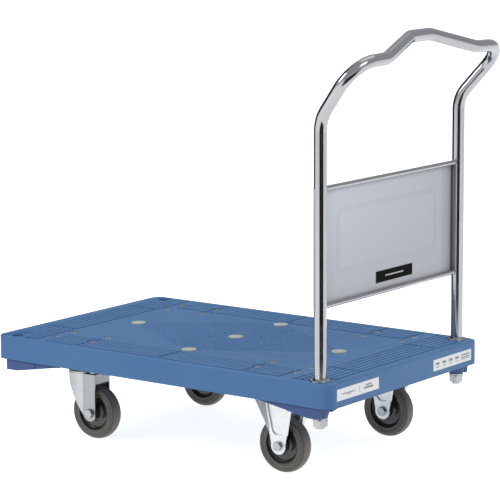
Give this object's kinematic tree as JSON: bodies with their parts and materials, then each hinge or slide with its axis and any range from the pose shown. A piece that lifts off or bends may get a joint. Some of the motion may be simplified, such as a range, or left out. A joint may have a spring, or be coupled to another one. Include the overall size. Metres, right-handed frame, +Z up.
{
  "type": "flatbed platform truck",
  "caption": "Flatbed platform truck: ribbed plastic deck, bent tube handle with a sheet panel, swivel casters in front and rigid casters under the handle end.",
  "frame": {"origin": "centre of the truck's footprint box, on the floor under it", "axes": "+X towards the handle end, +Y to the right hand of a person pushing from the handle, +Z up"},
  "size_m": [1.0061, 0.598, 0.9566],
  "materials": {
    "deck_plastic": "semi-matte moulded polypropylene, fine grain",
    "cap_plastic": "plain moulded caps",
    "chromed_tube": "bright chromed steel tube",
    "panel_paint": "light grey enamel on steel sheet",
    "plate_black": "black name plate, left blank",
    "label_white": "white film label, left blank",
    "tyre_rubber": "dark grey solid rubber",
    "hub_plastic": "black moulded hub",
    "seal_rubber": "black rubber dust ring",
    "bearing_steel": "polished bearing steel",
    "zinc_steel": "bright zinc-plated pressed steel"
  },
  "bodies": {
    "chassis": {"caster_mount_bolts": "zinc_steel", "caster_mount_nuts": "zinc_steel", "caster_mount_washers": "zinc_steel", "deck": "deck_plastic", "deck_plug_caps": "cap_plastic", "end_label_left": "label_white", "end_label_right": "label_white", "front_left_kingpin": "zinc_steel", "front_left_kingpin_nut": "zinc_steel", "front_left_swivel_plate": "zinc_steel", "front_left_swivel_seal": "seal_rubber", "front_right_kingpin": "zinc_steel", "front_right_kingpin_nut": "zinc_steel", "front_right_swivel_plate": "zinc_steel", "front_right_swivel_seal": "seal_rubber", "handle_lower_rail": "chromed_tube", "handle_panel": "panel_paint", "handle_tube": "chromed_tube", "handle_upper_rail": "chromed_tube", "panel_name_plate": "plate_black", "post_flanges": "chromed_tube", "post_nuts": "zinc_steel", "post_studs": "zinc_steel", "post_washers": "zinc_steel", "rear_left_axle_bolt": "zinc_steel", "rear_left_axle_nut": "zinc_steel", "rear_left_axle_sleeve": "zinc_steel", "rear_left_rigid_fork": "zinc_steel", "rear_right_axle_bolt": "zinc_steel", "rear_right_axle_nut": "zinc_steel", "rear_right_axle_sleeve": "zinc_steel", "rear_right_rigid_fork": "zinc_steel"},
    "front_left_caster_fork": {"front_left_axle_bolt": "zinc_steel", "front_left_axle_nut": "zinc_steel", "front_left_axle_sleeve": "zinc_steel", "front_left_race_balls": "bearing_steel", "front_left_swivel_fork": "zinc_steel"},
    "front_left_wheel": {"front_left_bearing_balls": "bearing_steel", "front_left_bearing_rings": "bearing_steel", "front_left_hub": "hub_plastic", "front_left_tyre": "tyre_rubber"},
    "rear_left_wheel": {"rear_left_bearing_balls": "bearing_steel", "rear_left_bearing_rings": "bearing_steel", "rear_left_hub": "hub_plastic", "rear_left_tyre": "tyre_rubber"},
    "front_right_caster_fork": {"front_right_axle_bolt": "zinc_steel", "front_right_axle_nut": "zinc_steel", "front_right_axle_sleeve": "zinc_steel", "front_right_race_balls": "bearing_steel", "front_right_swivel_fork": "zinc_steel"},
    "front_right_wheel": {"front_right_bearing_balls": "bearing_steel", "front_right_bearing_rings": "bearing_steel", "front_right_hub": "hub_plastic", "front_right_tyre": "tyre_rubber"},
    "rear_right_wheel": {"rear_right_bearing_balls": "bearing_steel", "rear_right_bearing_rings": "bearing_steel", "rear_right_hub": "hub_plastic", "rear_right_tyre": "tyre_rubber"}
  },
  "joints": [
    {"name": "front_left_swivel", "type": "hinge", "parent": "chassis", "child": "front_left_caster_fork", "pos_m": [-0.32055, -0.203, 0.153], "axis": [0, 0, 1], "continuous": true},
    {"name": "front_left_wheel_spin", "type": "hinge", "parent": "front_left_caster_fork", "child": "front_left_wheel", "pos_m": [-0.28155, -0.203, 0.0625], "axis": [0, 1, 0], "continuous": true},
    {"name": "rear_left_wheel_spin", "type": "hinge", "parent": "chassis", "child": "rear_left_wheel", "pos_m": [0.24945, -0.203, 0.0625], "axis": [0, 1, 0], "continuous": true},
    {"name": "front_right_swivel", "type": "hinge", "parent": "chassis", "child": "front_right_caster_fork", "pos_m": [-0.32055, 0.203, 0.153], "axis": [0, 0, 1], "continuous": true},
    {"name": "front_right_wheel_spin", "type": "hinge", "parent": "front_right_caster_fork", "child": "front_right_wheel", "pos_m": [-0.28155, 0.203, 0.0625], "axis": [0, 1, 0], "continuous": true},
    {"name": "rear_right_wheel_spin", "type": "hinge", "parent": "chassis", "child": "rear_right_wheel", "pos_m": [0.24945, 0.203, 0.0625], "axis": [0, 1, 0], "continuous": true}
  ]
}
